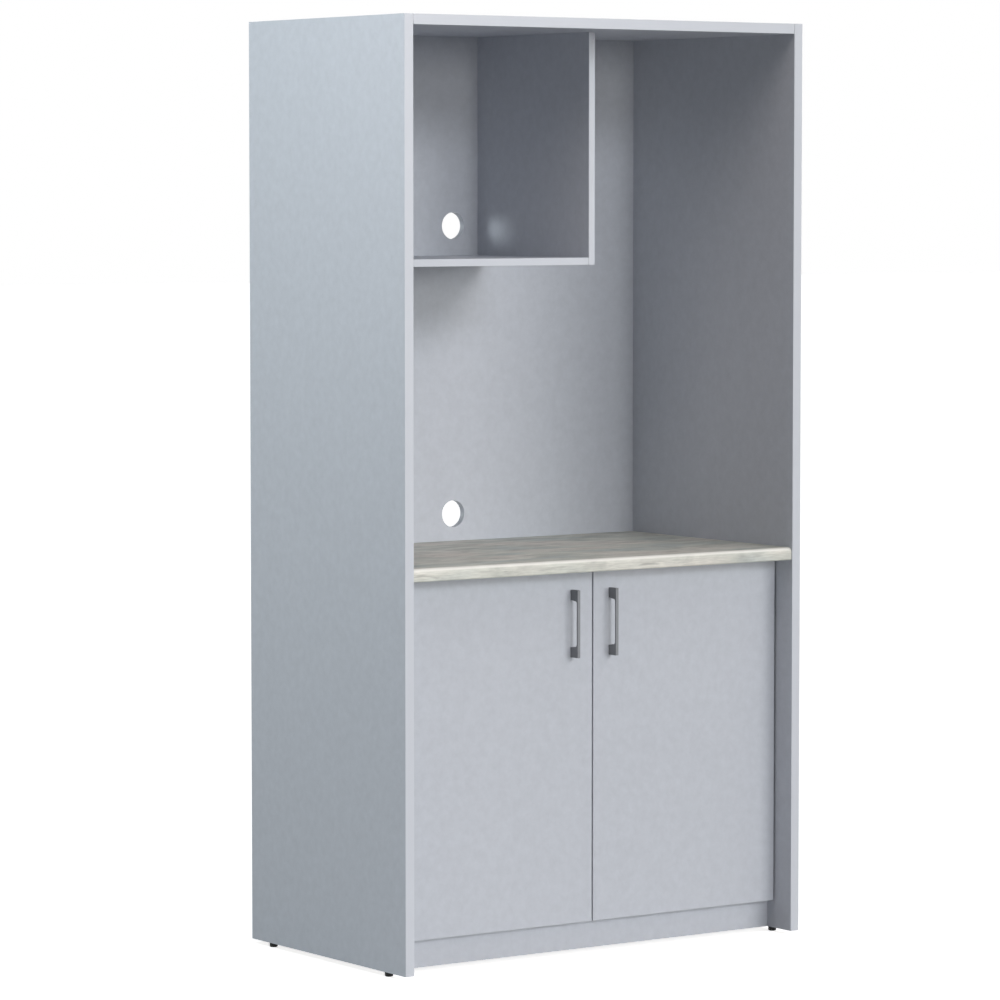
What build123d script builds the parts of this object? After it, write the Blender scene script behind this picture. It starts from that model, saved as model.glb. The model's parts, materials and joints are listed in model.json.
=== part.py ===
from build123d import *
import os

os.makedirs("parts", exist_ok=True)

# A tall kitchen cabinet for dishes. An open bay with a niche stands over a worktop, and two doors
# close the base. Sizes are in millimetres, +Z is up and -Y is the front. The origin is on the floor
# at the middle of the cabinet's outline.

# Overall size
WIDTH = 1044
DEPTH = 600
HEIGHT = 2000

# Boards and their edge bands
SIDE_THICKNESS = 22
TOP_THICKNESS = 22
BOARD_THICKNESS = 16
BACK_THICKNESS = 16
EDGE_BAND = 1

# Niche in the upper left, measured inside
NICHE_WIDTH = 566.4
NICHE_HEIGHT = 484
NICHE_DEPTH = 420

# Worktop with a rounded front edge
WORKTOP_HEIGHT = 858
WORKTOP_THICKNESS = 28
WORKTOP_SETBACK = 3
NOSE_TOP_RADIUS = 11
NOSE_BOTTOM_RADIUS = 3

# Base
PLINTH_HEIGHT = 60
PLINTH_SETBACK = 82.3
STRETCHER_WIDTH = 80
BASE_SHELF_HEIGHT = 450
BASE_SHELF_SETBACK = 95
BASE_SHELF_CLEARANCE = 1

# Doors: setback from the front edges of the sides, and the gaps round them
DOOR_SETBACK = 57.5
DOOR_THICKNESS = 16
DOOR_SIDE_GAP = 3
DOOR_CENTRE_GAP = 3.5
DOOR_TOP_GAP = 3
DOOR_BOTTOM_RISE = 2
DOOR_BACK_ROOM = 5

# Round cable holes in the back panel
CABLE_HOLE = 60
LOWER_CABLE_HEIGHT = 918.5
UPPER_CABLE_HEIGHT = 1560

# Bow handles, each placed from the edge where the doors meet
HANDLE_LENGTH = 145
HANDLE_WIDTH = 7
HANDLE_PROJECTION = 26
HANDLE_GRIP = 3.5
HANDLE_POST = 21.5
HANDLE_FLARE = 3
HANDLE_INNER_RADIUS = 5
HANDLE_OUTER_RADIUS = 1.2
HANDLE_EDGE_RADIUS = 0.5
HANDLE_DROP = 37.5
HANDLE_SCREW_SPACING = 128
LEFT_HANDLE_INSET = 53.5
RIGHT_HANDLE_INSET = 44.3

# Levelling feet under the side panels
FOOT_HEIGHT = 10
FOOT_DIAMETER = 18
FOOT_ROUNDING = 3
FRONT_FOOT_SETBACK = 79
REAR_FOOT_SETBACK = 530
STUD_DIAMETER = 6
STUD_LENGTH = 30
INSERT_DIAMETER = 10
INSERT_LENGTH = 18

# Cam fittings and dowels that hold the boards together
CAM_DIAMETER = 15
CAM_HEIGHT = 12
CAM_DISTANCE = 24
CAM_SLOT = 1.6
CAM_SLOT_DEPTH = 3
BOLT_THREAD = 5
BOLT_THREAD_LENGTH = 11
BOLT_SHAFT = 6
BOLT_HEAD = 6.8
BOLT_HEAD_LENGTH = 2
BOLT_BORE = 7.4
DOWEL_DIAMETER = 8
DOWEL_IN_FACE = 12
DOWEL_IN_END = 18
DOWEL_CHAMFER = 1
JOINT_FROM_EDGE = 60
DOWEL_SPACING = 32
BACK_JOINT_FROM_BOTTOM = 230
BACK_JOINT_ABOVE_WORKTOP = 152
BACK_JOINT_FROM_TOP = 198
STRETCHER_JOINT_FROM_EDGE = 20
PLINTH_JOINT_DROP = 15

# Shelf pins in rows of bores
PIN_DIAMETER = 5
PIN_IN_SIDE = 9
PIN_OUT = 8
PIN_FROM_EDGE = 50
PIN_PITCH = 32
PIN_BORE_COUNT = 5
PIN_CHAMFER = 0.5

# Screws
WORKTOP_SCREW = 4
WORKTOP_SCREW_LENGTH = 34
WORKTOP_SCREW_HEAD = 8
WORKTOP_SCREW_HEAD_HEIGHT = 2
WORKTOP_SCREW_HEAD_ANGLE = 90
WORKTOP_SCREW_FROM_END = 140
HANDLE_SCREW = 4
HANDLE_SCREW_IN_POST = 9
HANDLE_SCREW_HEAD = 8
HANDLE_SCREW_HEAD_HEIGHT = 2.4

# Concealed cup hinges. Places are measured from the door's hinge edge and from its back face.
HINGE_FROM_DOOR_END = 100
CUP_DIAMETER = 35
CUP_FROM_EDGE = 20.5
CUP_DEPTH = 12
CUP_WALL = 0.9
CUP_FLOOR = 0.9
FLANGE_DIAMETER = 38
FLANGE_THICKNESS = 1.2
FLANGE_EAR = 11
POCKET_WIDTH = 17.2
CUP_SCREW_SPACING = 48
CUP_SCREW_OFFSET = 6
CUP_SCREW = 3.4
CUP_SCREW_LENGTH = 13
CUP_SCREW_HEAD = 6.4
CUP_SCREW_HEAD_HEIGHT = 1.6

# Pivots of the hinge's two links: outer link from arm to cup, inner link from arm to cup
ARM_OUTER_PIVOT = (30.5, 23.5)
ARM_INNER_PIVOT = (26, 17.5)
CUP_OUTER_PIVOT = (10.5, -2.2)
CUP_INNER_PIVOT = (12.5, -8.3)
OUTER_LINK_BOW = 6
INNER_LINK_BOW = 8.5
OUTER_LINK_WIDTH = 3.2
INNER_LINK_WIDTH = 3.6
INNER_LINK_HEIGHT = 11.6
LINK_CHEEK = 1.5
LINK_CHEEK_GAP = 13.6
OUTER_ARM_EYE = 6.4
INNER_ARM_EYE = 5.5
OUTER_CUP_EYE = 4.8
INNER_CUP_EYE = 4.4
HINGE_PIN = 2.4
SLIDE_PIN = 2
SLIDE_PIN_LENGTH = 21
CUP_PIN_INNER_GAP = 12.8
CUP_PIN_OUTER_LENGTH = 23

# Oval clearance in the cup wall for the inner link's front pin
OVAL_CENTRE = (11.95, -7.15)
OVAL_TRAVEL = 1.1
OVAL_WIDTH = 4
OVAL_DEPTH = 2.4

# Hinge arm, a folded channel, and its mounting plate on the side panel
ARM_SHEET = 1.5
ARM_CHEEK_GAP = 17.2
ARM_END_RADIUS = 4.4
ARM_END = 86.5
ARM_WEB_START = 28.5
ARM_FRONT_HEIGHT = 34.9
ARM_BEND_START = 31
ARM_BEND_END = 54
ARM_LIFT = 3
ARM_LOWER_BEND = 45.5
ARM_PIN_LENGTH = 21.2
PLATE_THICKNESS = 2.5
PLATE_CENTRE = 37
PLATE_WIDTH = 12
PLATE_LENGTH = 52
PLATE_ROUNDING = 3
RIB_HEIGHT = 10
RIB_START = 55.5
RIB_WIDTH = 16.8
PLATE_SCREW = 4
PLATE_SCREW_LENGTH = 14
PLATE_SCREW_HEAD = 7.6
PLATE_SCREW_HEAD_HEIGHT = 2
PLATE_SCREW_SPACING = 32
ARM_SCREW = 5
ARM_SCREW_IN_RIB = 8
ARM_SCREW_HEAD = 9
ARM_SCREW_HEAD_HEIGHT = 2
ARM_SCREW_PLACE = 70

# Radial clearances: a fixed fit and a turning fit
FIXED_FIT = 0.02
TURNING_FIT = 0.05
SCREW_HOLE_CLEARANCE = 0.25
BORE_END_ROOM = 0.5

# Main faces that everything else is placed from
half = WIDTH / 2
inner = half - SIDE_THICKNESS
front = -DEPTH / 2
rear = DEPTH / 2
back_face = rear - BACK_THICKNESS
ceiling = HEIGHT - TOP_THICKNESS
worktop_underside = WORKTOP_HEIGHT - WORKTOP_THICKNESS
floor_underside = FOOT_HEIGHT + PLINTH_HEIGHT
floor_top = floor_underside + BOARD_THICKNESS
carcass_front = front + DOOR_SETBACK + DOOR_THICKNESS + DOOR_BACK_ROOM
stretcher_underside = worktop_underside - BOARD_THICKNESS
niche_front = back_face - NICHE_DEPTH
niche_floor = ceiling - NICHE_HEIGHT
niche_underside = niche_floor - BOARD_THICKNESS
divider_left = -inner + NICHE_WIDTH
divider_right = divider_left + BOARD_THICKNESS
plinth_front = front + PLINTH_SETBACK
shelf_front = front + BASE_SHELF_SETBACK
shelf_rear = back_face - BASE_SHELF_CLEARANCE
door_front = front + DOOR_SETBACK
door_back = door_front + DOOR_THICKNESS
door_bottom = floor_underside + DOOR_BOTTOM_RISE
door_top = worktop_underside - DOOR_TOP_GAP
hinge_heights = (door_bottom + HINGE_FROM_DOOR_END, door_top - HINGE_FROM_DOOR_END)
handle_height = door_top - HANDLE_DROP - HANDLE_LENGTH / 2
LEFT = -1
RIGHT = 1
SIDES = {LEFT: "left", RIGHT: "right"}
ON_PLACE = (Align.CENTER, Align.CENTER, Align.MIN)
UNDER_PLACE = (Align.CENTER, Align.CENTER, Align.MAX)


def save(piece, name):
    """Labels a finished piece and writes its file."""
    piece.part.label = name
    export_step(piece.part, f"parts/{name}.step")


def slab(x, y, z):
    """Adds a straight board between two limits along each axis."""
    with BuildSketch(Plane.XY.offset(z[0])) as outline:
        with Locations(((x[0] + x[1]) / 2, (y[0] + y[1]) / 2)):
            Rectangle(abs(x[1] - x[0]), abs(y[1] - y[0]))
    extrude(outline.sketch, amount=z[1] - z[0])


def drill(places, diameter, depth):
    """Cuts round bores against the normals of the places."""
    with Locations(*places):
        Hole(diameter / 2, depth)


def rods(places, diameter, low, high):
    """Adds a round bar at each place, between two heights along its normal."""
    with Locations(*[place.offset(low) for place in places]):
        Cylinder(diameter / 2, high - low, align=ON_PLACE)


# Joints between boards. Each joint is a plane on the end of a board: its normal points out of the
# end into the next board, and its x axis points to the face from which the cam goes in.


def joint(point, out, cam_face):
    return Plane(point, x_dir=cam_face, z_dir=out)


def across(points, cam_face):
    """Joints at both ends of a board that runs from side panel to side panel."""
    return [
        joint((side * inner, y, z), (side, 0, 0), cam_face) for side in SIDES for y, z in points
    ]


def rows(low, high, height):
    """Two joints near the limits of a board's width."""
    return [(low + JOINT_FROM_EDGE, height), (high - JOINT_FROM_EDGE, height)]


def beside(planes, direction):
    """Dowel places next to cam joints."""
    shift = Vector(direction) * DOWEL_SPACING
    return [Plane(p.origin + shift, x_dir=p.x_dir, z_dir=p.z_dir) for p in planes]


DOWN = (0, 0, -1)
UP = (0, 0, 1)
BACKWARD = (0, 1, 0)
RIGHTWARD = (1, 0, 0)
half_board = BOARD_THICKNESS / 2
top_middle = HEIGHT - TOP_THICKNESS / 2
shelf_middle = niche_floor - half_board
floor_middle = floor_top - half_board
stretcher_middle = worktop_underside - half_board
back_middle = rear - BACK_THICKNESS / 2
divider_middle = divider_left + half_board
plinth_middle = plinth_front + half_board
niche_rows = rows(niche_front, back_face, shelf_middle)
back_joint_heights = (
    FOOT_HEIGHT + BACK_JOINT_FROM_BOTTOM,
    WORKTOP_HEIGHT + BACK_JOINT_ABOVE_WORKTOP,
    ceiling - BACK_JOINT_FROM_TOP,
)
stretcher_rows = {
    "front_stretcher": carcass_front + STRETCHER_JOINT_FROM_EDGE,
    "rear_stretcher": back_face - STRETCHER_WIDTH + STRETCHER_JOINT_FROM_EDGE,
}
cam_joints = {
    "top_panel": across(rows(front, back_face, top_middle), UP),
    "bottom_panel": across(rows(carcass_front, back_face, floor_middle), DOWN),
    "niche_shelf": [joint((-inner, y, z), (-1, 0, 0), DOWN) for y, z in niche_rows]
    + [joint((divider_left, y, z), (1, 0, 0), DOWN) for y, z in niche_rows],
    "niche_divider": [
        joint((divider_middle, y, ceiling), UP, RIGHTWARD) for y, z in niche_rows
    ],
    "back_panel": across([(back_middle, z) for z in back_joint_heights], BACKWARD),
    "plinth": across([(plinth_middle, floor_underside - PLINTH_JOINT_DROP)], BACKWARD),
}
for name, y in stretcher_rows.items():
    cam_joints[name] = across([(y, stretcher_middle)], DOWN)
dowel_direction = {"back_panel": UP, "plinth": DOWN}
dowel_joints = {
    name: beside(planes, dowel_direction.get(name, BACKWARD)) for name, planes in cam_joints.items()
}
thickness = {name: BOARD_THICKNESS for name in cam_joints}
thickness["top_panel"] = TOP_THICKNESS
thickness["back_panel"] = BACK_THICKNESS


def cam_place(plane, board):
    """The cam's place on the face of its board, with the normal out of that face."""
    centre = plane.origin - plane.z_dir * CAM_DISTANCE + plane.x_dir * board / 2
    return Plane(centre, x_dir=plane.z_dir, z_dir=plane.x_dir)


def drill_ends(name):
    """Bores for the fittings that a board carries in its own ends."""
    drill(cam_joints[name], BOLT_BORE, CAM_DISTANCE)
    places = [cam_place(plane, thickness[name]) for plane in cam_joints[name]]
    drill(places, CAM_DIAMETER, CAM_HEIGHT + BORE_END_ROOM)
    drill(dowel_joints[name], DOWEL_DIAMETER, DOWEL_IN_END + BORE_END_ROOM)


def met(planes, axis, value):
    """The joints whose plane meets a face at a value along an axis."""
    return [-p for p in planes if abs(getattr(p.origin, axis) - value) < FIXED_FIT]


def drill_face(axis, value, names):
    """Bores in a face for the bolts and dowels of the boards that end on it."""
    for name in names:
        bolts = met(cam_joints[name], axis, value)
        dowels = met(dowel_joints[name], axis, value)
        if bolts:
            drill(bolts, BOLT_THREAD, BOLT_THREAD_LENGTH + BORE_END_ROOM)
            drill(dowels, DOWEL_DIAMETER, DOWEL_IN_FACE + BORE_END_ROOM)


# Places of the shelf pins and of the bores that they can be set in
pin_rows = (shelf_front + PIN_FROM_EDGE, shelf_rear - PIN_FROM_EDGE)
pin_height = BASE_SHELF_HEIGHT - PIN_DIAMETER / 2


def pin_places(side, count):
    """Planes on a side panel's inner face, as many in each row, with the normal into the cabinet."""
    lowest = pin_height - PIN_PITCH * (count - 1) / 2
    return [
        Plane((side * inner, y, lowest + step * PIN_PITCH), x_dir=UP, z_dir=(-side, 0, 0))
        for y in pin_rows
        for step in range(count)
    ]


# Hinges. A hinge plane is level with the middle of the hinge. Its x axis runs from the door's hinge
# edge towards the middle of the cabinet, and its y axis runs backwards from the door's back face.
# The side panel's face is at x = -DOOR_SIDE_GAP.
wall = -DOOR_SIDE_GAP


def hinge_plane(side, height):
    edge = side * (inner - DOOR_SIDE_GAP)
    return Plane((edge, door_back, height), x_dir=(-side, 0, 0), z_dir=(0, 0, -side))


def hinge_planes(side):
    return [hinge_plane(side, height) for height in hinge_heights]


def at(plane, x, y, height=0):
    """A plane like the hinge plane, moved to a place in it."""
    return Plane(plane.from_local_coords((x, y, height)), x_dir=plane.x_dir, z_dir=plane.z_dir)


def backward(plane, x, y, height=0):
    """A place in the hinge plane whose normal points backwards, out of the door's back."""
    origin = plane.from_local_coords((x, y, height))
    return Plane(origin, x_dir=plane.x_dir, z_dir=plane.y_dir)


def inward(plane, x, y, height=0):
    """A place in the hinge plane whose normal points away from the side panel."""
    origin = plane.from_local_coords((x, y, height))
    return Plane(origin, x_dir=plane.y_dir, z_dir=plane.x_dir)


def both_ways(spacing):
    return (-spacing / 2, spacing / 2)


def cup_screw_places(plane, level):
    x = CUP_FROM_EDGE + CUP_SCREW_OFFSET
    return [backward(plane, x, level, z) for z in both_ways(CUP_SCREW_SPACING)]


def plate_screw_places(plane, level):
    return [inward(plane, wall + level, PLATE_CENTRE, z) for z in both_ways(PLATE_SCREW_SPACING)]


def foot_places(side):
    """Where each foot meets the underside of its side panel, front one first."""
    x = side * (half - SIDE_THICKNESS / 2)
    setbacks = (FRONT_FOOT_SETBACK, REAR_FOOT_SETBACK)
    return [Plane((x, front + setback, FOOT_HEIGHT), z_dir=DOWN) for setback in setbacks]


# Side panels
def side_panel(side):
    with BuildPart() as panel:
        slab(
            sorted((side * half, side * inner)),
            (front + EDGE_BAND, rear),
            (FOOT_HEIGHT, HEIGHT),
        )
        drill_face("X", side * inner, cam_joints)
        drill(pin_places(side, PIN_BORE_COUNT), PIN_DIAMETER, PIN_IN_SIDE + BORE_END_ROOM)
        drill(foot_places(side), INSERT_DIAMETER, STUD_LENGTH + BORE_END_ROOM)
        for plane in hinge_planes(side):
            depth = PLATE_SCREW_LENGTH - PLATE_THICKNESS + BORE_END_ROOM
            drill(plate_screw_places(plane, 0), PLATE_SCREW, depth)
    return panel


for side, word in SIDES.items():
    save(side_panel(side), f"{word}_side_panel")

# Top panel, between the sides
with BuildPart() as top_panel:
    slab((-inner, inner), (front + EDGE_BAND, rear), (ceiling, HEIGHT))
    drill_ends("top_panel")
    drill_face("Z", ceiling, ["niche_divider"])
save(top_panel, "top_panel")

# Back panel, full height between the sides, with two cable holes
with BuildPart() as back_panel:
    slab((-inner, inner), (back_face, rear), (FOOT_HEIGHT, ceiling))
    drill_ends("back_panel")
    holes = [Plane((0, rear, z), z_dir=BACKWARD) for z in (LOWER_CABLE_HEIGHT, UPPER_CABLE_HEIGHT)]
    drill(holes, CABLE_HOLE, BACK_THICKNESS)
save(back_panel, "back_panel")

# Worktop: a board with a laminate nose rolled over its front edge
worktop_front = front + WORKTOP_SETBACK
worktop_screw_rows = (carcass_front + STRETCHER_WIDTH / 2, back_face - STRETCHER_WIDTH / 2)
worktop_screw_places = [
    Plane((side * (inner - WORKTOP_SCREW_FROM_END), y, stretcher_underside), z_dir=DOWN)
    for side in SIDES
    for y in worktop_screw_rows
]
with BuildPart() as worktop:
    with BuildSketch(Plane.YZ.offset(-inner)):
        with BuildLine():
            Polyline(
                (worktop_front, worktop_underside),
                (back_face, worktop_underside),
                (back_face, WORKTOP_HEIGHT),
                (worktop_front, WORKTOP_HEIGHT),
                close=True,
            )
        make_face()
        fillet(vertices().group_by(Axis.X)[0].sort_by(Axis.Y)[0], NOSE_BOTTOM_RADIUS)
        fillet(vertices().sort_by(Axis.Y).group_by(Axis.Y)[-1].sort_by(Axis.X)[0], NOSE_TOP_RADIUS)
    extrude(amount=2 * inner)
    pilots = [place.offset(-BOARD_THICKNESS) for place in worktop_screw_places]
    pilot_depth = WORKTOP_SCREW_LENGTH - BOARD_THICKNESS + BORE_END_ROOM
    drill(pilots, WORKTOP_SCREW, pilot_depth)
save(worktop, "worktop")

# Niche divider and shelf
with BuildPart() as niche_divider:
    slab((divider_left, divider_right), (niche_front + EDGE_BAND, back_face), (niche_underside, ceiling))
    drill_ends("niche_divider")
    drill_face("X", divider_left, ["niche_shelf"])
save(niche_divider, "niche_divider")

with BuildPart() as niche_shelf:
    slab((-inner, divider_left), (niche_front + EDGE_BAND, back_face), (niche_underside, niche_floor))
    drill_ends("niche_shelf")
save(niche_shelf, "niche_shelf")

# Base: bottom panel, plinth and the two stretchers under the worktop
with BuildPart() as bottom_panel:
    slab((-inner, inner), (carcass_front + EDGE_BAND, back_face), (floor_underside, floor_top))
    drill_ends("bottom_panel")
save(bottom_panel, "bottom_panel")

with BuildPart() as plinth:
    slab(
        (-inner, inner),
        (plinth_front, plinth_front + BOARD_THICKNESS),
        (FOOT_HEIGHT, floor_underside),
    )
    drill_ends("plinth")
save(plinth, "plinth")

stretcher_spans = {
    "front_stretcher": (carcass_front + EDGE_BAND, carcass_front + STRETCHER_WIDTH),
    "rear_stretcher": (back_face - STRETCHER_WIDTH, back_face),
}
for name, span in stretcher_spans.items():
    with BuildPart() as stretcher:
        slab((-inner, inner), span, (stretcher_underside, worktop_underside))
        drill_ends(name)
        places = [p for p in worktop_screw_places if span[0] < p.origin.Y < span[1]]
        with Locations(*places):
            CounterSinkHole(
                WORKTOP_SCREW / 2 + SCREW_HOLE_CLEARANCE,
                WORKTOP_SCREW_HEAD / 2 + SCREW_HOLE_CLEARANCE,
                BOARD_THICKNESS,
                WORKTOP_SCREW_HEAD_ANGLE,
            )
    save(stretcher, name)

# Adjustable shelf on its four pins
with BuildPart() as base_shelf:
    slab(
        (-inner + BASE_SHELF_CLEARANCE, inner - BASE_SHELF_CLEARANCE),
        (shelf_front + EDGE_BAND, shelf_rear),
        (BASE_SHELF_HEIGHT, BASE_SHELF_HEIGHT + BOARD_THICKNESS),
    )
save(base_shelf, "base_shelf")

with BuildPart() as shelf_pins:
    for side in SIDES:
        rods(pin_places(side, 1), PIN_DIAMETER, -PIN_IN_SIDE, PIN_OUT)
    chamfer(shelf_pins.edges().filter_by(GeomType.CIRCLE), PIN_CHAMFER)
save(shelf_pins, "shelf_pins")

# Edge bands on the front edges of the carcass boards, one strip for each board
stretcher_top = (stretcher_underside, worktop_underside)
divider_span = (divider_left, divider_right)
shelf_span = (inner - BASE_SHELF_CLEARANCE, BASE_SHELF_CLEARANCE - inner)
edge_bands = [
    ((-half, -inner), front, (FOOT_HEIGHT, HEIGHT)),
    ((inner, half), front, (FOOT_HEIGHT, HEIGHT)),
    ((-inner, inner), front, (ceiling, HEIGHT)),
    (divider_span, niche_front, (niche_underside, ceiling)),
    ((-inner, divider_left), niche_front, (niche_underside, niche_floor)),
    ((-inner, inner), carcass_front, (floor_underside, floor_top)),
    ((-inner, inner), carcass_front, stretcher_top),
    (shelf_span, shelf_front, (BASE_SHELF_HEIGHT, BASE_SHELF_HEIGHT + BOARD_THICKNESS)),
]


def strip(x, y, z):
    with BuildPart() as band:
        slab(sorted(x), y, z)
    return band.part


def save_strips(limits, name):
    """Writes strips that touch at their ends as separate solids of one group."""
    group = Compound(label=name, children=[strip(*limit) for limit in limits])
    export_step(group, f"parts/{name}.step")


save_strips([(x, (y, y + EDGE_BAND), z) for x, y, z in edge_bands], "carcass_edge_bands")

# Cam bolts, cam locks and dowels, each kind as one group of separate solids
bolt_planes = [plane for planes in cam_joints.values() for plane in planes]
with BuildPart() as cam_bolts:
    rods(bolt_planes, BOLT_THREAD, 0, BOLT_THREAD_LENGTH)
    rods(bolt_planes, BOLT_SHAFT, -CAM_DISTANCE, 0)
    rods(bolt_planes, BOLT_HEAD, -CAM_DISTANCE, BOLT_HEAD_LENGTH - CAM_DISTANCE)
save(cam_bolts, "cam_bolts")

with BuildPart() as cam_locks:
    for name, planes in cam_joints.items():
        places = [cam_place(plane, thickness[name]) for plane in planes]
        with Locations(*places):
            Cylinder(CAM_DIAMETER / 2 - FIXED_FIT, CAM_HEIGHT, align=UNDER_PLACE)
            Box(CAM_DIAMETER / 2, CAM_SLOT, 2 * CAM_SLOT_DEPTH, mode=Mode.SUBTRACT)
            Box(CAM_SLOT, CAM_DIAMETER / 2, 2 * CAM_SLOT_DEPTH, mode=Mode.SUBTRACT)
        mouths = [plane.offset(CAM_DIAMETER - CAM_DISTANCE) for plane in planes]
        drill(mouths, BOLT_BORE, CAM_DIAMETER + BOLT_HEAD_LENGTH)
save(cam_locks, "cam_locks")

dowel_planes = [plane for planes in dowel_joints.values() for plane in planes]
with BuildPart() as dowels:
    rods(dowel_planes, DOWEL_DIAMETER, -DOWEL_IN_END, DOWEL_IN_FACE)
    chamfer(dowels.edges().filter_by(GeomType.CIRCLE), DOWEL_CHAMFER)
save(dowels, "dowels")

# Screws that hold the worktop down from below
with BuildPart() as worktop_screws:
    rods(worktop_screw_places, WORKTOP_SCREW, -WORKTOP_SCREW_LENGTH, 0)
    with Locations(*worktop_screw_places):
        Cone(
            WORKTOP_SCREW / 2,
            WORKTOP_SCREW_HEAD / 2,
            WORKTOP_SCREW_HEAD_HEIGHT,
            align=UNDER_PLACE,
        )
save(worktop_screws, "worktop_screws")

# Levelling feet with their studs, and the threaded inserts in the side panels
foot_names = {
    LEFT: ("front_left_foot", "rear_left_foot"),
    RIGHT: ("front_right_foot", "rear_right_foot"),
}
for side, names in foot_names.items():
    for name, place in zip(names, foot_places(side)):
        with BuildPart() as foot:
            rods([place], FOOT_DIAMETER, 0, FOOT_HEIGHT)
            fillet(foot.edges().filter_by(GeomType.CIRCLE).sort_by(Axis.Z)[0], FOOT_ROUNDING)
            rods([place], STUD_DIAMETER, -STUD_LENGTH, 0)
        save(foot, name)

all_feet = foot_places(LEFT) + foot_places(RIGHT)
with BuildPart() as foot_inserts:
    rods(all_feet, INSERT_DIAMETER, -INSERT_LENGTH, 0)
    drill(all_feet, STUD_DIAMETER + 2 * TURNING_FIT, INSERT_LENGTH)
save(foot_inserts, "foot_inserts")


# Handles and their screws. Each handle plane stands on the door's front, with its x axis forwards
# and its y axis upwards.
handle_inset = {LEFT: LEFT_HANDLE_INSET, RIGHT: RIGHT_HANDLE_INSET}


def handle_plane(side):
    x = side * (DOOR_CENTRE_GAP / 2 + handle_inset[side])
    return Plane((x, door_front, handle_height), x_dir=(0, -1, 0), z_dir=(-1, 0, 0))


def handle_screw_places(side, y):
    x = side * (DOOR_CENTRE_GAP / 2 + handle_inset[side])
    heights = [handle_height + shift for shift in both_ways(HANDLE_SCREW_SPACING)]
    return [Plane((x, y, z), z_dir=BACKWARD) for z in heights]


def handle(side):
    end = HANDLE_LENGTH / 2
    grip_back = HANDLE_PROJECTION - HANDLE_GRIP
    foot_end = end - HANDLE_POST
    grip_end = foot_end - HANDLE_FLARE
    with BuildPart() as bow:
        with BuildSketch(handle_plane(side)) as profile:
            with BuildLine():
                Polyline(
                    (0, -end),
                    (HANDLE_PROJECTION, -end),
                    (HANDLE_PROJECTION, end),
                    (0, end),
                    (0, foot_end),
                    (grip_back, grip_end),
                    (grip_back, -grip_end),
                    (0, -foot_end),
                    close=True,
                )
            make_face()
            fillet(profile.vertices().group_by(Axis.X)[1], HANDLE_INNER_RADIUS)
            fillet(profile.vertices().group_by(Axis.X)[-1], HANDLE_OUTER_RADIUS)
        extrude(amount=HANDLE_WIDTH / 2, both=True)
        outer_face = bow.faces().sort_by(Axis.Y)[0]
        fillet(outer_face.edges().filter_by(Axis.Z), HANDLE_EDGE_RADIUS)
        bore_depth = HANDLE_SCREW_IN_POST + BORE_END_ROOM
        drill(handle_screw_places(side, door_front), HANDLE_SCREW, bore_depth)
    return bow


def handle_screws(side):
    with BuildPart() as screws:
        places = handle_screw_places(side, door_back)
        rods(places, HANDLE_SCREW, -DOOR_THICKNESS - HANDLE_SCREW_IN_POST, 0)
        rods(places, HANDLE_SCREW_HEAD, 0, HANDLE_SCREW_HEAD_HEIGHT)
    return screws


for side, word in SIDES.items():
    save(handle(side), f"{word}_handle")
    save(handle_screws(side), f"{word}_handle_screws")


# Doors, with bores for the hinge cups and for the screws of cups and handles
def door_span(side):
    return sorted((side * (inner - DOOR_SIDE_GAP), side * DOOR_CENTRE_GAP / 2))


def door(side):
    low, high = door_span(side)
    with BuildPart() as leaf:
        slab(
            (low + EDGE_BAND, high - EDGE_BAND),
            (door_front, door_back),
            (door_bottom + EDGE_BAND, door_top - EDGE_BAND),
        )
        clear_hole = HANDLE_SCREW + 2 * SCREW_HOLE_CLEARANCE
        drill(handle_screw_places(side, door_back), clear_hole, DOOR_THICKNESS)
        for plane in hinge_planes(side):
            drill([backward(plane, CUP_FROM_EDGE, 0)], CUP_DIAMETER, CUP_DEPTH + BORE_END_ROOM)
            screw_depth = CUP_SCREW_LENGTH - FLANGE_THICKNESS + BORE_END_ROOM
            drill(cup_screw_places(plane, 0), CUP_SCREW, screw_depth)
    return leaf


def door_band_limits(side):
    """Strips on the four edges of a door, the long ones over the ends of the short ones."""
    low, high = door_span(side)
    depth = (door_front, door_back)
    height = (door_bottom, door_top)
    return [
        ((low, low + EDGE_BAND), depth, height),
        ((high - EDGE_BAND, high), depth, height),
        ((low + EDGE_BAND, high - EDGE_BAND), depth, (door_bottom, door_bottom + EDGE_BAND)),
        ((low + EDGE_BAND, high - EDGE_BAND), depth, (door_top - EDGE_BAND, door_top)),
    ]


for side, word in SIDES.items():
    save(door(side), f"{word}_door")
    save_strips(door_band_limits(side), f"{word}_door_edge_bands")


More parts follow.
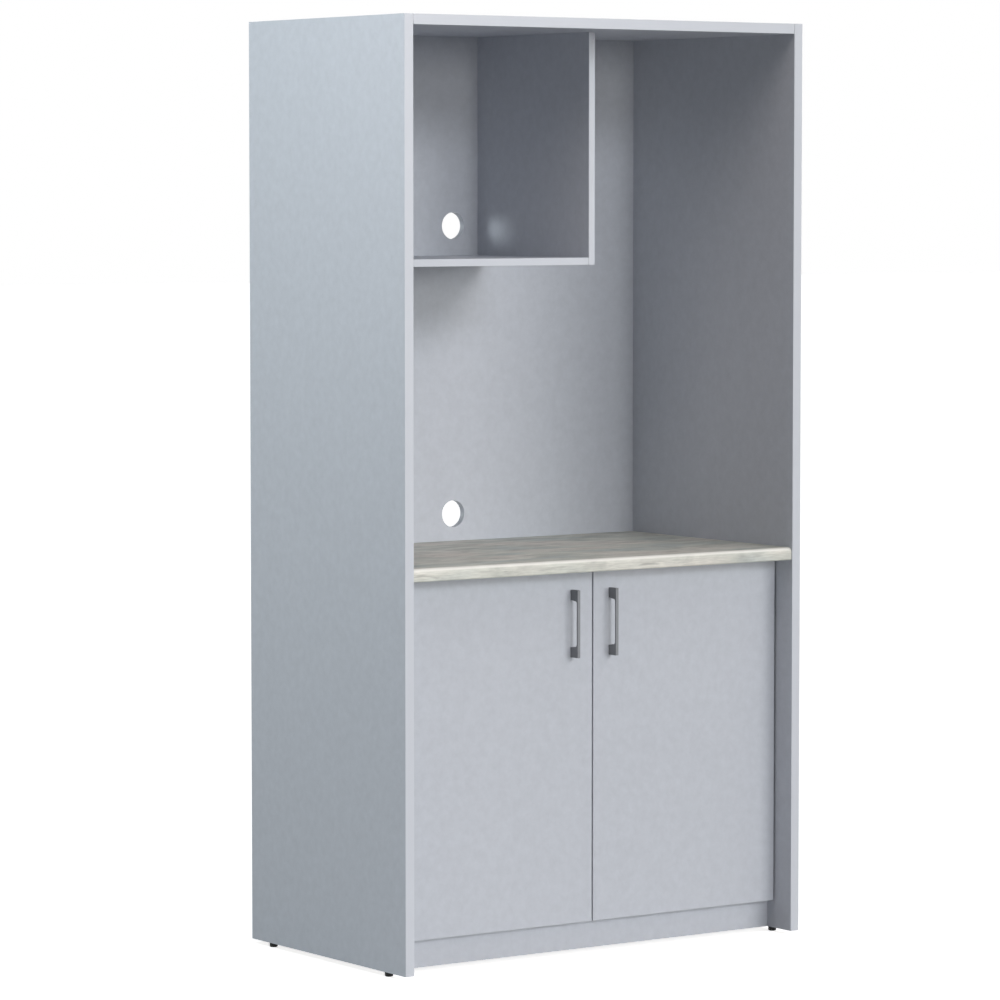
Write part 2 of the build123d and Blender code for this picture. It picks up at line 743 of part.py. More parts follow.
# Hinge cup: a round cup in the door's back, with a flange and a pocket for the links
def hinge_cup(plane):
    back = backward(plane, CUP_FROM_EDGE, 0)
    with BuildPart() as cup:
        with BuildSketch(back):
            Circle(FLANGE_DIAMETER / 2)
            with Locations(*[(CUP_SCREW_OFFSET, z) for z in both_ways(CUP_SCREW_SPACING)]):
                Circle(FLANGE_EAR / 2)
            make_hull()
        extrude(amount=FLANGE_THICKNESS)
        with BuildSketch(back):
            Circle(CUP_DIAMETER / 2 - FIXED_FIT)
        extrude(amount=-CUP_DEPTH)
        with BuildSketch(back.offset(CUP_FLOOR - CUP_DEPTH)):
            Circle(CUP_DIAMETER / 2 - CUP_WALL)
            Rectangle(CUP_DIAMETER, POCKET_WIDTH, mode=Mode.INTERSECT)
        extrude(amount=CUP_DEPTH + FLANGE_THICKNESS, mode=Mode.SUBTRACT)
        with BuildSketch(back):
            with Locations((-FLANGE_DIAMETER / 2, 0)):
                Rectangle(FLANGE_DIAMETER, POCKET_WIDTH)
        extrude(amount=FLANGE_THICKNESS, mode=Mode.SUBTRACT)
        with Locations(at(plane, *CUP_OUTER_PIVOT)):
            Cylinder(HINGE_PIN / 2 + FIXED_FIT, CUP_PIN_OUTER_LENGTH, mode=Mode.SUBTRACT)
        with BuildSketch(at(plane, *OVAL_CENTRE)):
            SlotCenterToCenter(OVAL_TRAVEL, OVAL_WIDTH, rotation=90)
        extrude(amount=POCKET_WIDTH / 2 + OVAL_DEPTH, both=True, mode=Mode.SUBTRACT)
        drill(cup_screw_places(plane, FLANGE_THICKNESS), CUP_SCREW, FLANGE_THICKNESS)
    return cup


# Outer link: two curved cheeks on a common sleeve at the arm
def outer_link(plane):
    cheek_inside = LINK_CHEEK_GAP / 2
    with BuildPart() as link:
        for level in (cheek_inside, -cheek_inside - LINK_CHEEK):
            with BuildSketch(plane.offset(level)):
                with BuildLine():
                    SagittaArc(ARM_OUTER_PIVOT, CUP_OUTER_PIVOT, OUTER_LINK_BOW)
                    offset(amount=OUTER_LINK_WIDTH / 2, side=Side.BOTH)
                make_face()
                with Locations(ARM_OUTER_PIVOT):
                    Circle(OUTER_ARM_EYE / 2)
                with Locations(CUP_OUTER_PIVOT):
                    Circle(OUTER_CUP_EYE / 2)
            extrude(amount=LINK_CHEEK)
        with Locations(at(plane, *ARM_OUTER_PIVOT)):
            Cylinder(OUTER_ARM_EYE / 2, LINK_CHEEK_GAP)
        with Locations(at(plane, *ARM_OUTER_PIVOT), at(plane, *CUP_OUTER_PIVOT)):
            bore = HINGE_PIN / 2 + TURNING_FIT
            Cylinder(bore, LINK_CHEEK_GAP + 2 * LINK_CHEEK, mode=Mode.SUBTRACT)
    return link


# Inner link: one curved bar between the cheeks
def inner_link(plane):
    with BuildPart() as link:
        with BuildSketch(plane):
            with BuildLine():
                SagittaArc(ARM_INNER_PIVOT, CUP_INNER_PIVOT, INNER_LINK_BOW)
                offset(amount=INNER_LINK_WIDTH / 2, side=Side.BOTH)
            make_face()
            with Locations(ARM_INNER_PIVOT):
                Circle(INNER_ARM_EYE / 2)
            with Locations(CUP_INNER_PIVOT):
                Circle(INNER_CUP_EYE / 2)
            with Locations(ARM_INNER_PIVOT):
                Circle(HINGE_PIN / 2 + TURNING_FIT, mode=Mode.SUBTRACT)
            with Locations(CUP_INNER_PIVOT):
                Circle(SLIDE_PIN / 2 + FIXED_FIT, mode=Mode.SUBTRACT)
        extrude(amount=INNER_LINK_HEIGHT / 2, both=True)
    return link


# Hinge arm: a cranked channel that straddles the rib of its mounting plate
rib_top = wall + PLATE_THICKNESS + RIB_HEIGHT
arm_back_height = rib_top + ARM_SHEET
arm_crank = [
    (ARM_FRONT_HEIGHT, ARM_BEND_START),
    (arm_back_height, ARM_BEND_END),
    (arm_back_height, ARM_END),
]
arm_underside = [
    (wall + ARM_LIFT, ARM_END),
    (wall + ARM_LIFT, ARM_LOWER_BEND),
    (ARM_INNER_PIVOT[0] - ARM_END_RADIUS, ARM_INNER_PIVOT[1] + ARM_END_RADIUS),
    (ARM_INNER_PIVOT[0] - ARM_END_RADIUS, ARM_INNER_PIVOT[1]),
]


def hinge_arm(plane):
    cheek_inside = ARM_CHEEK_GAP / 2
    front_corner = (ARM_FRONT_HEIGHT, ARM_OUTER_PIVOT[1])
    with BuildPart() as arm:
        for level in (cheek_inside, -cheek_inside - ARM_SHEET):
            with BuildSketch(plane.offset(level)):
                with BuildLine():
                    outline = [front_corner] + arm_crank + arm_underside
                    Polyline(*outline, ARM_INNER_PIVOT, ARM_OUTER_PIVOT, close=True)
                make_face()
                with Locations(ARM_INNER_PIVOT, ARM_OUTER_PIVOT):
                    Circle(ARM_END_RADIUS)
            extrude(amount=ARM_SHEET)
        with BuildSketch(plane):
            with BuildLine():
                Polyline((ARM_FRONT_HEIGHT, ARM_WEB_START), *arm_crank)
                offset(amount=ARM_SHEET, side=Side.LEFT)
            make_face()
        extrude(amount=cheek_inside + ARM_SHEET, both=True)
        with Locations(at(plane, *ARM_OUTER_PIVOT), at(plane, *ARM_INNER_PIVOT)):
            Cylinder(HINGE_PIN / 2 + FIXED_FIT, ARM_PIN_LENGTH, mode=Mode.SUBTRACT)
        drill([inward(plane, arm_back_height, ARM_SCREW_PLACE)], ARM_SCREW, ARM_SHEET)
    return arm


# Mounting plates on the side panels: two wings for the screws and a rib that carries the arm
def mounting_plates(planes):
    with BuildPart() as plates:
        for plane in planes:
            with BuildSketch(inward(plane, wall, 0)):
                with Locations((PLATE_CENTRE, 0)):
                    RectangleRounded(PLATE_WIDTH, PLATE_LENGTH, PLATE_ROUNDING)
                with Locations(((PLATE_CENTRE + ARM_END) / 2, 0)):
                    Rectangle(ARM_END - PLATE_CENTRE, RIB_WIDTH)
            extrude(amount=PLATE_THICKNESS)
            with BuildSketch(inward(plane, wall + PLATE_THICKNESS, 0)):
                with Locations(((RIB_START + ARM_END) / 2, 0)):
                    Rectangle(ARM_END - RIB_START, RIB_WIDTH)
            extrude(amount=RIB_HEIGHT)
            drill(plate_screw_places(plane, PLATE_THICKNESS), PLATE_SCREW, PLATE_THICKNESS)
            arm_screw_place = inward(plane, rib_top, ARM_SCREW_PLACE)
            drill([arm_screw_place], ARM_SCREW, ARM_SCREW_IN_RIB + BORE_END_ROOM)
    return plates


hinge_pieces = {
    "hinge_cup": hinge_cup,
    "outer_link": outer_link,
    "inner_link": inner_link,
    "hinge_arm": hinge_arm,
}
for side, word in SIDES.items():
    for level, plane in zip(("lower", "upper"), hinge_planes(side)):
        for name, make in hinge_pieces.items():
            save(make(plane), f"{word}_{level}_{name}")
    save(mounting_plates(hinge_planes(side)), f"{word}_mounting_plates")

    # Short pins in the cup for the outer link, the inner link's own pin, and the cup's screws
    with BuildPart() as cup_pins:
        places = [at(plane, *CUP_OUTER_PIVOT) for plane in hinge_planes(side)]
        inside, outside = CUP_PIN_INNER_GAP / 2, CUP_PIN_OUTER_LENGTH / 2
        rods(places, HINGE_PIN, inside, outside)
        rods(places, HINGE_PIN, -outside, -inside)
    save(cup_pins, f"{word}_cup_pins")

    with BuildPart() as slide_pins:
        with Locations(*[at(plane, *CUP_INNER_PIVOT) for plane in hinge_planes(side)]):
            Cylinder(SLIDE_PIN / 2, SLIDE_PIN_LENGTH)
    save(slide_pins, f"{word}_slide_pins")

    with BuildPart() as cup_screws:
        for plane in hinge_planes(side):
            places = cup_screw_places(plane, FLANGE_THICKNESS)
            rods(places, CUP_SCREW, -CUP_SCREW_LENGTH, 0)
            rods(places, CUP_SCREW_HEAD, 0, CUP_SCREW_HEAD_HEIGHT)
    save(cup_screws, f"{word}_cup_screws")

# Pins of both links in the arms, and the screws of plates and arms
every_hinge = hinge_planes(LEFT) + hinge_planes(RIGHT)
with BuildPart() as hinge_arm_pins:
    for pivot in (ARM_OUTER_PIVOT, ARM_INNER_PIVOT):
        with Locations(*[at(plane, *pivot) for plane in every_hinge]):
            Cylinder(HINGE_PIN / 2, ARM_PIN_LENGTH)
save(hinge_arm_pins, "hinge_arm_pins")

with BuildPart() as hinge_plate_screws:
    for plane in every_hinge:
        places = plate_screw_places(plane, PLATE_THICKNESS)
        rods(places, PLATE_SCREW, -PLATE_SCREW_LENGTH, 0)
        rods(places, PLATE_SCREW_HEAD, 0, PLATE_SCREW_HEAD_HEIGHT)
save(hinge_plate_screws, "hinge_plate_screws")

with BuildPart() as hinge_arm_screws:
    places = [inward(plane, arm_back_height, ARM_SCREW_PLACE) for plane in every_hinge]
    rods(places, ARM_SCREW, -ARM_SHEET - ARM_SCREW_IN_RIB, 0)
    rods(places, ARM_SCREW_HEAD, 0, ARM_SCREW_HEAD_HEIGHT)
save(hinge_arm_screws, "hinge_arm_screws")
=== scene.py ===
import json
import math

import bmesh
import bpy
from mathutils import Matrix, Vector

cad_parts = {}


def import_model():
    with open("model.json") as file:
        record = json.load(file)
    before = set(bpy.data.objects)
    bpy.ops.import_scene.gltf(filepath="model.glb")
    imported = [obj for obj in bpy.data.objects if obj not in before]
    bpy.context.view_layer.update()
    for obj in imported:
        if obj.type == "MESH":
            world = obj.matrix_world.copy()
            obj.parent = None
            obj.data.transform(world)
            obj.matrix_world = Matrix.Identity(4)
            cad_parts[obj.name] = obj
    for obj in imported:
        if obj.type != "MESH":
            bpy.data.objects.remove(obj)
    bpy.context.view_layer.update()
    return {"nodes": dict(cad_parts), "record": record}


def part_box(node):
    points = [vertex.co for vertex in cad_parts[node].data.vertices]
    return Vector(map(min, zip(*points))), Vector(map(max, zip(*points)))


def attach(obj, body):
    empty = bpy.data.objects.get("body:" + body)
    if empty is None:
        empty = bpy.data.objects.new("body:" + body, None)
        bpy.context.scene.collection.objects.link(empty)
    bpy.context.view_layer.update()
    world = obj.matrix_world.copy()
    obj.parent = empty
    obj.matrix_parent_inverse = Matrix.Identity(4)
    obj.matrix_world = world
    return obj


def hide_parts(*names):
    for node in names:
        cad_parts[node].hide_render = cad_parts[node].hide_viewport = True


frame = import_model()
NODES = frame["nodes"]
MM = 0.001

# Camera at the photograph's place, in metres and degrees
CAMERA_PLACE = (-5.69858, -8.00298, 1.63913)
CAMERA_YAW = 35.109
CAMERA_PITCH = -3.925
CAMERA_REACH = 200.0
FOCAL_PIXELS = 4517.2
IMAGE_PIXELS = 1000
SENSOR = 36.0

# Distant lamps: azimuth from the front towards the right and height above the horizon in degrees,
# angular width in degrees, strength on a surface that faces the lamp, and colour
DISTANT_LAMPS = {
    "front_low": (0, 4, 12, 0.166, (1.004, 0.996, 0.961)),
    "front": (0, 20, 12, 0.134, (0.955, 0.998, 1.075)),
    "front_right": (15, 20, 18, 0.206, (0.974, 1.0, 1.004)),
    "right_high": (30, 36, 20, 0.072, (1.108, 0.962, 0.995)),
    "right_low": (30, 4, 18, 0.142, (0.968, 1.002, 1.002)),
    "window": (-141, 5, 24, 0.322, (0.918, 1.017, 1.075)),
    "spark": (62, 48, 26, 0.12, (1.0, 1.0, 0.98)),
    "right_fill": (100, 4, 16, 0.24, (0.98, 1.0, 1.02)),
    "back_fill": (180, 4, 16, 0.22, (0.98, 1.0, 1.02)),
}
# Soft boxes near the left side: the place, the point that it looks at, its side in metres, its
# strength at that point, and its colour
LEFT_SIDE = (-0.522, 0.0, 1.4)
SOFT_BOXES = {
    "side_box": ((-2.4, 0.1, 2.8), LEFT_SIDE, 1.1, 0.268, (0.853, 1.035, 1.105)),
    "high_box": ((-1.6, -1.0, 3.0), LEFT_SIDE, 1.1, 0.272, (1.047, 0.989, 0.975)),
}

# Floor and backdrop: what is seen of them is white, and what they give to the object is plainer
WHITE = (1.0, 1.0, 1.0)
AMBIENT = (0.0, 0.0, 0.0)
FLOOR_GLOW = 0.80
FLOOR_SEEN = (0.9, 0.9, 0.9)
FLOOR_TONE = (0.56, 0.56, 0.56)
FLOOR_REACH = 60.0

# Edge bands
BAND_RADIUS = 0.7 * MM
BAND_SEGMENTS = 4
JOINT_GAP = 0.35 * MM

# Colours of the materials
MELAMINE = (0.556, 0.576, 0.622)
BAND_TONE = (0.645, 0.665, 0.712)
BORE_MARGIN = 0.5 * MM
AXES = "XYZ"


def scaled(tone, share):
    return tuple(share * c for c in tone)


class Nodes:
    """A tree of shader nodes. Each call adds a node and gives back the socket that it makes."""

    def __init__(self, tree):
        self.tree = tree
        self.tree.nodes.clear()

    def node(self, kind, inputs, **settings):
        made = self.tree.nodes.new("ShaderNode" + kind)
        for key, value in settings.items():
            setattr(made, key, value)
        for key, value in inputs.items():
            self.put(made.inputs[key], value)
        return made

    def put(self, socket, value):
        """Links a socket, or sets a plain value on it."""
        if isinstance(value, bpy.types.NodeSocket):
            self.tree.links.new(value, socket)
        elif isinstance(value, tuple) and len(value) == 3 and socket.type == "RGBA":
            socket.default_value = (*value, 1.0)
        else:
            socket.default_value = value

    def noise(self, vector, scale=1.0, detail=3.0, roughness=0.5, distortion=0.0):
        inputs = {"Vector": vector, "Scale": scale, "Detail": detail, "Roughness": roughness}
        inputs["Distortion"] = distortion
        return self.node("TexNoise", inputs).outputs["Fac"]

    def cells(self, vector, scale):
        """A tone for each cell."""
        return self.node("TexVoronoi", {"Vector": vector, "Scale": scale}).outputs["Color"]

    def split(self, vector):
        return self.node("SeparateXYZ", {"Vector": vector}).outputs

    def ramp(self, factor, stops):
        """Colours or plain levels at places between 0 and 1."""
        made = self.node("ValToRGB", {"Fac": factor})
        band = made.color_ramp
        while len(band.elements) < len(stops):
            band.elements.new(0.5)
        for element, (place, colour) in zip(band.elements, stops):
            level = colour if isinstance(colour, tuple) else (colour,) * 3
            element.position = place
            element.color = (*level, 1.0)
        return made.outputs["Color"]

    def spread(self, factor, low, high, start=0.0, end=1.0):
        """Maps a factor between start and end to a value between low and high."""
        inputs = {"Value": factor, "From Min": start, "From Max": end, "To Min": low, "To Max": high}
        return self.node("MapRange", inputs).outputs["Result"]

    def math(self, operation, first, second=0.0):
        made = self.node("Math", {0: first, 1: second}, operation=operation)
        return made.outputs["Value"]

    def mix(self, factor, first, second, blend="MIX"):
        made = self.node("Mix", {}, data_type="RGBA", blend_type=blend)
        self.put(made.inputs["Factor"], factor)
        self.put(made.inputs[6], first)
        self.put(made.inputs[7], second)
        return made.outputs[2]

    def bump(self, height, strength, distance, normal=None):
        inputs = {"Height": height, "Strength": strength, "Distance": distance}
        if normal is not None:
            inputs["Normal"] = normal
        return self.node("Bump", inputs).outputs["Normal"]

    def seen_directly(self):
        """1 for the camera, in mirror images and through clear things, 0 for light that bounces."""
        path = self.node("LightPath", {}).outputs
        shown = self.math("MAXIMUM", path["Is Camera Ray"], path["Is Glossy Ray"])
        return self.math("MAXIMUM", shown, path["Is Transmission Ray"])


class Surface(Nodes):
    """A material made of nodes."""

    def __init__(self, name):
        self.material = bpy.data.materials.new(name)
        self.material.use_nodes = True
        super().__init__(self.material.node_tree)
        self.coordinates = self.node("TexCoord", {}).outputs

    def place(self, scale=(1, 1, 1)):
        """The point on the piece, in its own frame, stretched."""
        inputs = {"Vector": self.coordinates["Object"], "Scale": scale}
        return self.node("Mapping", inputs).outputs["Vector"]

    def finish(self, **inputs):
        """The surface itself. Names use underscores for the spaces of the sockets' names."""
        named = {key.replace("_", " "): value for key, value in inputs.items()}
        shader = self.node("BsdfPrincipled", named)
        self.node("OutputMaterial", {"Surface": shader.outputs["BSDF"]})
        return self.material


# Materials
def chipboard_tone(surface):
    """Pressed chips: short flakes of lighter and darker wood."""
    flakes = surface.cells(surface.place(), 650.0)
    fine = surface.noise(surface.place(), 1500.0, 2.0)
    wood = surface.ramp(flakes, [
        (0.0, (0.20, 0.13, 0.075)),
        (0.5, (0.42, 0.30, 0.18)),
        (1.0, (0.60, 0.47, 0.31)),
    ])
    return surface.mix(surface.spread(fine, 0.0, 0.6), wood, (0.33, 0.235, 0.145))


def melamine(axis, bores=()):
    """Chipboard faced with melamine. The faces across the given axis are faced, and so are the walls
    of the bores, which run along that axis. The cut edges show chips."""
    surface = Surface(f"melamine_{AXES[axis]}_{len(bores)}")
    normal = surface.split(surface.coordinates["Normal"])
    faced = surface.math("GREATER_THAN", surface.math("ABSOLUTE", normal[AXES[axis]]), 0.5)
    flat = surface.place(tuple(float(n != axis) for n in range(3)))
    for centre, radius in bores:
        level = tuple(0.0 if n == axis else centre[n] for n in range(3))
        away = surface.node("VectorMath", {0: flat, 1: level}, operation="DISTANCE").outputs["Value"]
        wall = surface.math("LESS_THAN", away, radius + BORE_MARGIN)
        faced = surface.math("MAXIMUM", faced, wall)
    clouds = surface.noise(surface.place(), 6.0, 2.0)
    grain = surface.noise(surface.place(), 55.0, 4.0, 0.65)
    fleck = surface.noise(surface.place(), 700.0, 2.0)
    pearl = surface.noise(surface.place(), 1300.0, 2.0)
    shade = surface.math("ADD", surface.spread(clouds, -0.05, 0.05), surface.spread(grain, -0.5, 0.5))
    shade = surface.math("ADD", shade, surface.spread(fleck, -0.10, 0.10))
    middle = surface.math("ADD", 0.5, shade)
    tone = surface.mix(middle, scaled(MELAMINE, 0.9), scaled(MELAMINE, 1.1))
    colour = surface.mix(faced, chipboard_tone(surface), tone)
    cut = surface.spread(faced, 0.3, 0.0)
    rough = surface.math("ADD", surface.spread(pearl, 0.44, 0.56), cut)
    relief = surface.bump(pearl, 0.10, 0.15 * MM)
    relief = surface.bump(fleck, 0.06, 0.3 * MM, relief)
    return surface.finish(Base_Color=colour, Roughness=rough, Normal=relief, IOR=1.5)


def edge_band():
    """Plastic band, lighter and smoother than the boards' faces, with faint lines from trimming."""
    surface = Surface("edge_band")
    lines = surface.noise(surface.place((900, 900, 900)), 1.0, 2.0)
    clouds = surface.noise(surface.place(), 12.0, 2.0)
    tone = surface.mix(clouds, scaled(BAND_TONE, 0.97), scaled(BAND_TONE, 1.03))
    rough = surface.spread(lines, 0.34, 0.44)
    relief = surface.bump(lines, 0.08, 0.1 * MM)
    return surface.finish(Base_Color=tone, Roughness=rough, Normal=relief, IOR=1.5)


def laminate():
    """Laminate in streaked stone, matt on the flat, and smoother where it rolls over the nose, with a
    painted highlight: the colour is lighter along the nose's upper bend. The streaks run along the
    worktop."""
    surface = Surface("laminate")
    point = surface.split(surface.coordinates["Object"])
    upward = surface.split(surface.coordinates["Normal"])["Z"]
    down = surface.math("SUBTRACT", point["Y"], point["Z"])
    sheet = surface.node("CombineXYZ", {"X": point["X"], "Y": down, "Z": 0.0}).outputs["Vector"]

    def pattern(along, across, offset, *settings):
        """Noise on the laid-out sheet, with its own scale along and across the worktop."""
        inputs = {"Vector": sheet, "Scale": (along, across, 1), "Location": (*offset, 0)}
        return surface.noise(surface.node("Mapping", inputs).outputs["Vector"], 1.0, *settings)

    patches = pattern(3.4, 9.0, (0.4, 2.3), 2.0, 0.5, 0.5)
    drifts = pattern(11, 26, (3, 1), 3.0, 0.55, 0.6)
    streaks = pattern(30, 350, (7, 5), 3.0, 0.6, 0.3)
    veins = pattern(9, 72, (1, 9), 3.0, 0.55, 1.2)
    pores = pattern(260, 900, (0, 0), 2.0)
    base = surface.ramp(patches, [
        (0.34, (0.60, 0.63, 0.59)),
        (0.46, (0.70, 0.70, 0.62)),
        (0.56, (0.78, 0.75, 0.67)),
        (0.68, (0.78, 0.725, 0.645)),
    ])
    drift_levels = surface.ramp(drifts, [(0.30, 0.72), (0.5, 0.92), (0.68, 1.04)])
    streak_levels = surface.ramp(streaks, [(0.30, 0.80), (0.68, 1.04)])
    colour = surface.mix(1.0, base, drift_levels, "MULTIPLY")
    colour = surface.mix(1.0, colour, streak_levels, "MULTIPLY")
    vein_share = surface.spread(veins, 0.0, 0.6, 0.60, 0.74)
    colour = surface.mix(vein_share, colour, (0.29, 0.28, 0.25))
    rolled = surface.spread(upward, 1.0, 0.0, 0.93, 0.99)
    # Painted highlight: along the upper bend of the nose the colour is pushed towards a pale cream
    painted_highlight = surface.math("MULTIPLY", rolled, surface.spread(upward, 0.0, 1.0, 0.32, 0.60))
    colour = surface.mix(surface.math("MULTIPLY", painted_highlight, 0.85), colour, (0.95, 0.93, 0.86))
    smoother = surface.math("MULTIPLY", rolled, 0.20)
    rough = surface.math("SUBTRACT", surface.spread(streaks, 0.56, 0.66), smoother)
    relief = surface.bump(pores, 0.08, 0.1 * MM)
    gloss = {"IOR": 1.45, "Coat_Weight": rolled, "Coat_Roughness": 0.36}
    return surface.finish(Base_Color=colour, Roughness=rough, Normal=relief, **gloss)


def satin_metal(name, tone, rough, metallic=1.0):
    """Metal with a fine satin drawn along the piece."""
    surface = Surface(name)
    brushed = surface.noise(surface.place((2600, 2600, 60)), 1.0, 3.0)
    clouds = surface.noise(surface.place(), 60.0, 2.0)
    colour = surface.mix(clouds, scaled(tone, 0.9), scaled(tone, 1.1))
    rough_map = surface.spread(brushed, rough - 0.05, rough + 0.05)
    relief = surface.bump(brushed, 0.12, 0.05 * MM)
    return surface.finish(Base_Color=colour, Roughness=rough_map, Normal=relief, Metallic=metallic)


def black_plastic():
    """Matt black plastic with a fine grain."""
    surface = Surface("black_plastic")
    grain = surface.noise(surface.place(), 1800.0, 2.0)
    tone = surface.mix(grain, (0.004, 0.004, 0.004), (0.010, 0.010, 0.010))
    rough = surface.spread(grain, 0.42, 0.54)
    relief = surface.bump(grain, 0.15, 0.08 * MM)
    return surface.finish(Base_Color=tone, Roughness=rough, Normal=relief, IOR=1.33)


def beech():
    """Turned beech of the dowels."""
    surface = Surface("beech")
    rays = surface.noise(surface.place((200, 200, 200)), 4.0, 3.0, 0.6, 0.5)
    tone = surface.ramp(rays, [(0.3, (0.50, 0.33, 0.19)), (0.7, (0.68, 0.49, 0.30))])
    rough = surface.spread(rays, 0.55, 0.7)
    relief = surface.bump(rays, 0.2, 0.1 * MM)
    return surface.finish(Base_Color=tone, Roughness=rough, Normal=relief)


CABLE_HOLES = [
    (mount["pos_m"], mount["dims"]["r_mm"] * MM)
    for mount in frame["record"]["mounts"]
    if mount["kind"] == "bore"
]
BOARD_FINISHES = [melamine(axis) for axis in range(3)]
FINISHES = {
    "back_board": melamine(1, CABLE_HOLES),
    "edge_band": edge_band(),
    "worktop": laminate(),
    "handle_metal": satin_metal("handle_metal", (0.215, 0.220, 0.233), 0.55, 0.15),
    "foot": black_plastic(),
    "dowel": beech(),
    "zinc": satin_metal("zinc", (0.55, 0.55, 0.57), 0.42),
    "screw_steel": satin_metal("screw_steel", (0.62, 0.62, 0.64), 0.28),
    "hinge_steel": satin_metal("hinge_steel", (0.66, 0.65, 0.63), 0.24),
}


def paint(obj, material):
    obj.data.materials.clear()
    obj.data.materials.append(material)


def thin_axis(node):
    """The axis across a board: 0, 1 or 2."""
    low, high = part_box(node)
    size = high - low
    return min(range(3), key=lambda axis: size[axis])


for part in frame["record"]["subparts"]:
    node, slot = part["node"], part["material_slot"]
    if node == "back_panel":
        paint(NODES[node], FINISHES["back_board"])
    elif slot in ("board", "door_board"):
        paint(NODES[node], BOARD_FINISHES[thin_axis(node)])
    else:
        paint(NODES[node], FINISHES[slot])


# Pieces
def box_mesh(low, high):
    """An open bmesh of a box between two corners."""
    made = bmesh.new()
    centre = (Vector(low) + Vector(high)) / 2
    size = Vector(high) - Vector(low)
    matrix = Matrix.Translation(centre) @ Matrix.Diagonal((*size, 1.0))
    bmesh.ops.create_cube(made, size=1.0, matrix=matrix)
    return made


def strip(name, low, high, out, body, replaced):
    """An edge band between two corners, rounded around the face that looks outwards. It rides a body
    and stands for a CAD node."""
    made = box_mesh(low, high)
    outward = Vector(out)
    face = max(made.faces, key=lambda f: f.normal.dot(outward))
    rim = list(face.edges)
    rounding = {"offset": BAND_RADIUS, "segments": BAND_SEGMENTS, "profile": 0.5}
    bmesh.ops.bevel(made, geom=rim, affect="EDGES", **rounding)
    mesh = bpy.data.meshes.new(name)
    made.to_mesh(mesh)
    made.free()
    for polygon in mesh.polygons:
        polygon.use_smooth = True
    piece = bpy.data.objects.new(name, mesh)
    bpy.context.scene.collection.objects.link(piece)
    paint(piece, FINISHES["edge_band"])
    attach(piece, body)
    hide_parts(replaced)
    piece.modifiers.new("even_normals", "WEIGHTED_NORMAL")


FRONT, LEFT, RIGHT, UNDER, ABOVE = (0, -1, 0), (-1, 0, 0), (1, 0, 0), (0, 0, -1), (0, 0, 1)
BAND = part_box("left_side_panel")[0].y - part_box("carcass_edge_bands")[0].y
BANDED = (
    "left_side_panel", "right_side_panel", "top_panel", "niche_divider",
    "niche_shelf", "bottom_panel", "front_stretcher", "base_shelf",
)
for board in BANDED:
    low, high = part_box(board)
    gap = JOINT_GAP if high.x - low.x > high.z - low.z else 0.0
    start = (low.x + gap, low.y - BAND, low.z)
    end = (high.x - gap, low.y, high.z)
    strip(f"{board}_band", start, end, FRONT, "carcass", "carcass_edge_bands")

for door in ("left_door", "right_door"):
    group = f"{door}_edge_bands"
    low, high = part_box(group)
    leaf_low, leaf_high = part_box(door)
    foot = (leaf_low.x, low.y, low.z)
    head = (leaf_low.x, low.y, leaf_high.z)
    strip(f"{door}_left_band", low, (leaf_low.x, high.y, high.z), LEFT, door, group)
    strip(f"{door}_right_band", (leaf_high.x, low.y, low.z), high, RIGHT, door, group)
    strip(f"{door}_bottom_band", foot, (leaf_high.x, high.y, leaf_low.z), UNDER, door, group)
    strip(f"{door}_top_band", head, (leaf_high.x, high.y, high.z), ABOVE, door, group)


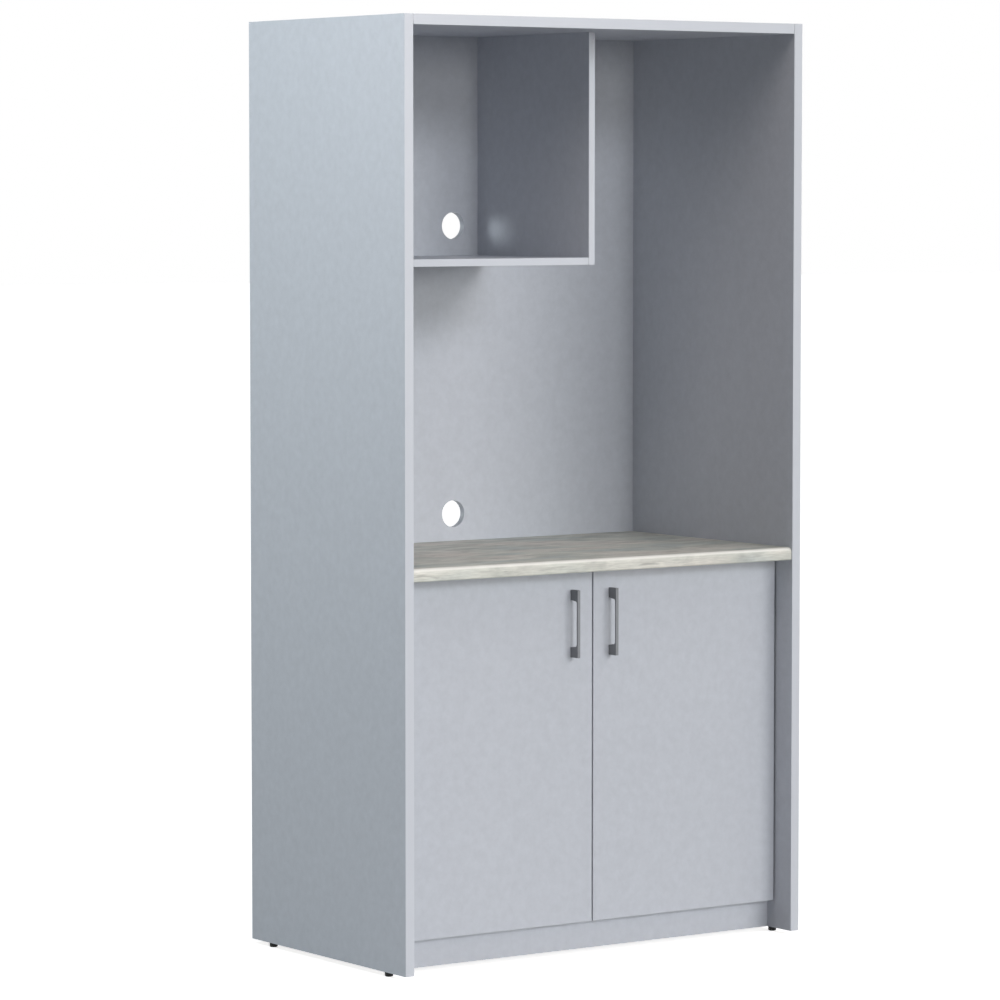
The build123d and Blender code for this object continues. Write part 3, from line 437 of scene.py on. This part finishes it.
# Floor, backdrop and light
def floor():
    """A pale floor that shows white, with the object's faint shadow."""
    mesh = bpy.data.meshes.new("floor")
    far = FLOOR_REACH
    corners = [(-far, -far, 0), (far, -far, 0), (far, far, 0), (-far, far, 0)]
    mesh.from_pydata(corners, [], [(0, 1, 2, 3)])
    obj = bpy.data.objects.new("floor", mesh)
    bpy.context.scene.collection.objects.link(obj)
    surface = Surface("floor")
    glow = surface.node("Emission", {"Color": WHITE, "Strength": FLOOR_GLOW})
    lit = surface.node("BsdfDiffuse", {"Color": FLOOR_SEEN})
    shown = surface.node("AddShader", {0: glow.outputs[0], 1: lit.outputs[0]})
    plain = surface.node("BsdfDiffuse", {"Color": FLOOR_TONE})
    choice = {0: surface.seen_directly(), 1: plain.outputs[0], 2: shown.outputs[0]}
    mixed = surface.node("MixShader", choice)
    surface.node("OutputMaterial", {"Surface": mixed.outputs[0]})
    paint(obj, surface.material)


def world():
    """White behind the object and in its reflections."""
    made = bpy.data.worlds.new("studio")
    bpy.context.scene.world = made
    made.use_nodes = True
    nodes = Nodes(made.node_tree)
    colour = nodes.mix(nodes.seen_directly(), AMBIENT, WHITE)
    sky = nodes.node("Background", {"Color": colour})
    nodes.node("OutputWorld", {"Surface": sky.outputs[0]})


def add_lamp(name, data, colour, towards):
    """Puts a lamp into the scene, shining from the given direction."""
    data.color = colour
    obj = bpy.data.objects.new(name, data)
    bpy.context.scene.collection.objects.link(obj)
    obj.rotation_euler = Vector(towards).to_track_quat("Z", "Y").to_euler()
    return obj


def distant_lamp(name, azimuth, height, width, strength, colour):
    """A distant soft lamp. A strength of 1 shows a facing surface in its own colour."""
    data = bpy.data.lights.new(name, "SUN")
    data.energy = strength * math.pi
    data.angle = math.radians(width)
    a, e = math.radians(azimuth), math.radians(height)
    towards = (math.sin(a) * math.cos(e), -math.cos(a) * math.cos(e), math.sin(e))
    add_lamp(name, data, colour, towards)


def soft_box(name, place, target, side, strength, colour):
    """A square lamp. A strength of 1 shows a surface that faces it at the target in its own colour."""
    data = bpy.data.lights.new(name, "AREA")
    data.shape = "SQUARE"
    data.size = side
    away = Vector(place) - Vector(target)
    data.energy = strength * math.pi ** 2 * away.length_squared
    add_lamp(name, data, colour, away).location = place


def camera():
    data = bpy.data.cameras.new("camera")
    data.sensor_width = SENSOR
    data.lens = SENSOR * FOCAL_PIXELS / IMAGE_PIXELS
    data.clip_end = CAMERA_REACH
    obj = bpy.data.objects.new("camera", data)
    bpy.context.scene.collection.objects.link(obj)
    obj.location = CAMERA_PLACE
    obj.rotation_euler = (math.radians(90 + CAMERA_PITCH), 0, math.radians(-CAMERA_YAW))
    bpy.context.scene.camera = obj


floor()
world()
for name, settings in DISTANT_LAMPS.items():
    distant_lamp(name, *settings)
for name, settings in SOFT_BOXES.items():
    soft_box(name, *settings)
camera()
bpy.context.scene.view_settings.view_transform = "Standard"
